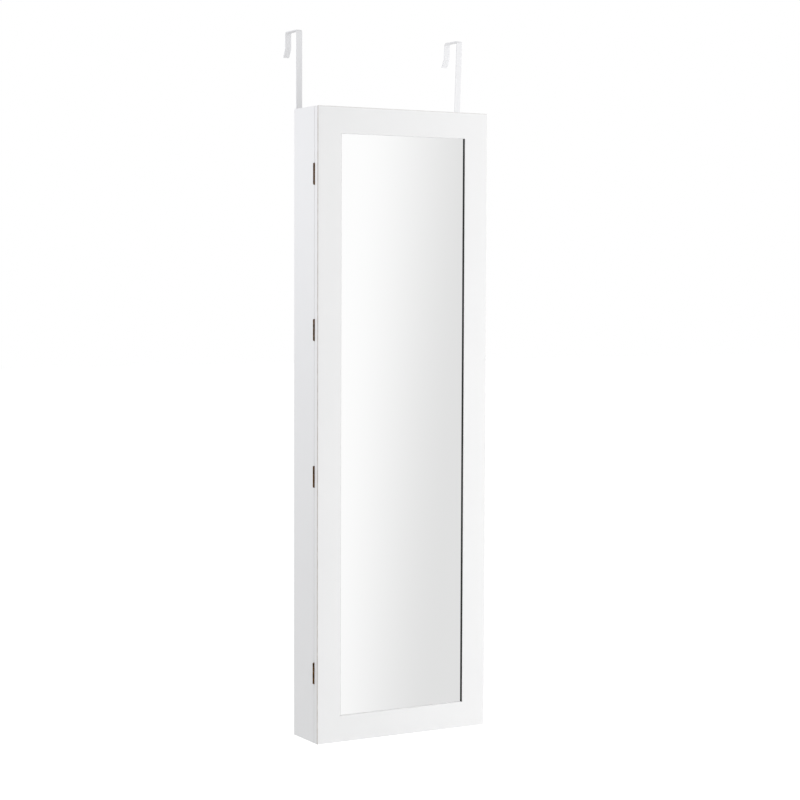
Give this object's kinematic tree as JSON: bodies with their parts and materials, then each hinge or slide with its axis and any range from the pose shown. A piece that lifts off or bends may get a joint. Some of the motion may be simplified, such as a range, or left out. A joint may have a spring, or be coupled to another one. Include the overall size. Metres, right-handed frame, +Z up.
{
  "type": "jewelry mirror cabinet",
  "caption": "Tall white over-the-door jewelry cabinet: a shallow lined case with shelves, pegs and a ring cushion behind a hinged full-length mirror door.",
  "frame": {"origin": "middle of the carcass's back face, where it lies against a door or wall", "axes": "+X to the right as seen from the front, +Y from the back face towards the house door or wall, +Z up; the mirror faces -Y"},
  "size_m": [0.3745, 0.1553, 1.3501],
  "materials": {
    "white_board": "MDF board, smooth white satin paint",
    "thin_board": "thin white-faced board",
    "velvet": "black short-pile velvet",
    "silvered_glass": "clear silvered mirror",
    "black_seal": "matt black strip",
    "antique_bronze": "antique bronze plating, worn at the knuckles",
    "strap_steel": "white powder coat on flat steel",
    "zinc_screw": "bright zinc plating",
    "black_screw": "black oxide",
    "polished_steel": "polished",
    "gold_peg": "polished brass",
    "beech": "plain beech",
    "catch_plastic": "white moulded plastic",
    "magnet": "dark ceramic magnet",
    "rail_plastic": "white gloss plastic",
    "felt": "pale grey felt",
    "clear_rubber": "milky soft rubber"
  },
  "bodies": {
    "cabinet": {"back_lining": "velvet", "back_pads": "felt", "back_panel": "thin_board", "back_panel_screws": "zinc_screw", "bottom_panel": "white_board", "bracelet_rod": "polished_steel", "carcass_dowels": "beech", "catch_housing": "catch_plastic", "catch_magnet": "magnet", "catch_screws": "zinc_screw", "door_bumpers": "clear_rubber", "door_hook_left": "strap_steel", "door_hook_right": "strap_steel", "door_hook_screws": "zinc_screw", "guard_rod_1": "polished_steel", "guard_rod_2": "polished_steel", "guard_rod_3": "polished_steel", "guard_rod_4": "polished_steel", "hinge_leaf_carcass_1": "antique_bronze", "hinge_leaf_carcass_2": "antique_bronze", "hinge_leaf_carcass_3": "antique_bronze", "hinge_leaf_carcass_4": "antique_bronze", "hinge_pins": "antique_bronze", "hinge_screws_carcass": "antique_bronze", "necklace_pegs": "gold_peg", "peg_rail": "white_board", "ring_cushion": "velvet", "ring_ledge_lower": "white_board", "ring_ledge_upper": "white_board", "shelf_1": "white_board", "shelf_2": "white_board", "shelf_3": "white_board", "shelf_pads": "velvet", "shelf_pins": "polished_steel", "side_panel_left": "white_board", "side_panel_right": "white_board", "top_panel": "white_board"},
    "door": {"door_stile_left": "white_board", "door_stile_right": "white_board", "door_rail_top": "white_board", "door_rail_bottom": "white_board", "door_dowels": "beech", "mirror_pane": "silvered_glass", "mirror_backing": "thin_board", "mirror_seals": "black_seal", "door_lining": "velvet", "lining_screws": "black_screw", "earring_spacers": "rail_plastic", "strike_plate": "zinc_screw", "strike_screws": "zinc_screw", "hinge_screws_door": "antique_bronze", "earring_rail_1": "rail_plastic", "earring_rail_2": "rail_plastic", "earring_rail_3": "rail_plastic", "hinge_leaf_door_1": "antique_bronze", "hinge_leaf_door_2": "antique_bronze", "hinge_leaf_door_3": "antique_bronze", "hinge_leaf_door_4": "antique_bronze"}
  },
  "joints": [
    {"name": "door_swing", "type": "hinge", "parent": "cabinet", "child": "door", "pos_m": [-0.1855, -0.0845, 0], "axis": [0, 0, -1], "range_deg": [0, 180]}
  ]
}
